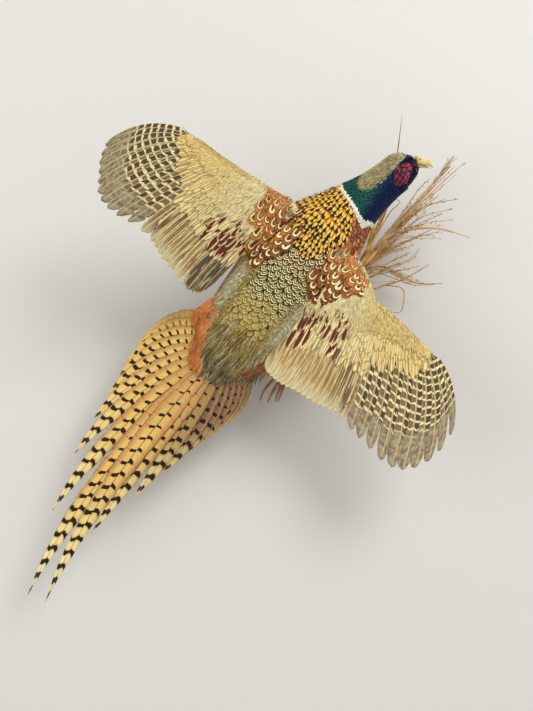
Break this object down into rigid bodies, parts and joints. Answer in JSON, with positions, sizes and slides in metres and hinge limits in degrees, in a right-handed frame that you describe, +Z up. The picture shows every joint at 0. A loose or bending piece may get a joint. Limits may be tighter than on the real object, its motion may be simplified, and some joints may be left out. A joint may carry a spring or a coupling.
{
  "type": "taxidermy pheasant wall mount",
  "caption": "Cock ring-necked pheasant mounted in flight against a wall, back outward, wings open and tail fanned, on a hidden board with a tied sheaf of dried grass.",
  "frame": {"origin": "on the back face of the mounting board, behind the rod that carries the bird", "axes": "+Y into the wall, +Z up, +X to the viewer's right; the bird stands off the wall towards -Y"},
  "size_m": [0.6141, 0.2749, 0.673],
  "materials": {
    "board_wood": "oiled, open grain",
    "rod_steel": "brushed",
    "body_plumage": "soft matte feathers: golden back, olive rump, copper breast",
    "neck_plumage": "dark green and blue feathers with a silky sheen, white collar",
    "head_plumage": "dark blue feathers, buff crown, red face skin",
    "wing_plumage": "sand and buff feathers, barred grey-brown primaries",
    "tail_plumage": "golden buff vanes with black bars",
    "thigh_plumage": "soft matte brown feathers",
    "horn": "pale yellow horn, satin",
    "eye_glass": "polished, dark brown behind a clear front",
    "leg_scales": "dry grey scales",
    "dry_grass": "dry straw"
  },
  "bodies": {
    "root": {"wall_board": "board_wood", "mount_rod": "rod_steel", "trunk": "body_plumage", "neck": "neck_plumage", "head": "head_plumage", "bill_upper": "horn", "bill_lower": "horn", "eye_left": "eye_glass", "eye_right": "eye_glass", "wing_left_arm": "wing_plumage", "wing_left_hand": "wing_plumage", "thigh_left": "thigh_plumage", "foot_left": "leg_scales", "tail_left_1": "tail_plumage", "tail_left_2": "tail_plumage", "tail_left_3": "tail_plumage", "tail_left_4": "tail_plumage", "tail_left_5": "tail_plumage", "tail_left_6": "tail_plumage", "tail_left_7": "tail_plumage", "tail_left_8": "tail_plumage", "tail_left_9": "tail_plumage", "wing_right_arm": "wing_plumage", "wing_right_hand": "wing_plumage", "thigh_right": "thigh_plumage", "foot_right": "leg_scales", "tail_right_1": "tail_plumage", "tail_right_2": "tail_plumage", "tail_right_3": "tail_plumage", "tail_right_4": "tail_plumage", "tail_right_5": "tail_plumage", "tail_right_6": "tail_plumage", "tail_right_7": "tail_plumage", "tail_right_8": "tail_plumage", "tail_right_9": "tail_plumage", "grass_sheaf": "dry_grass"}
  },
  "joints": []
}
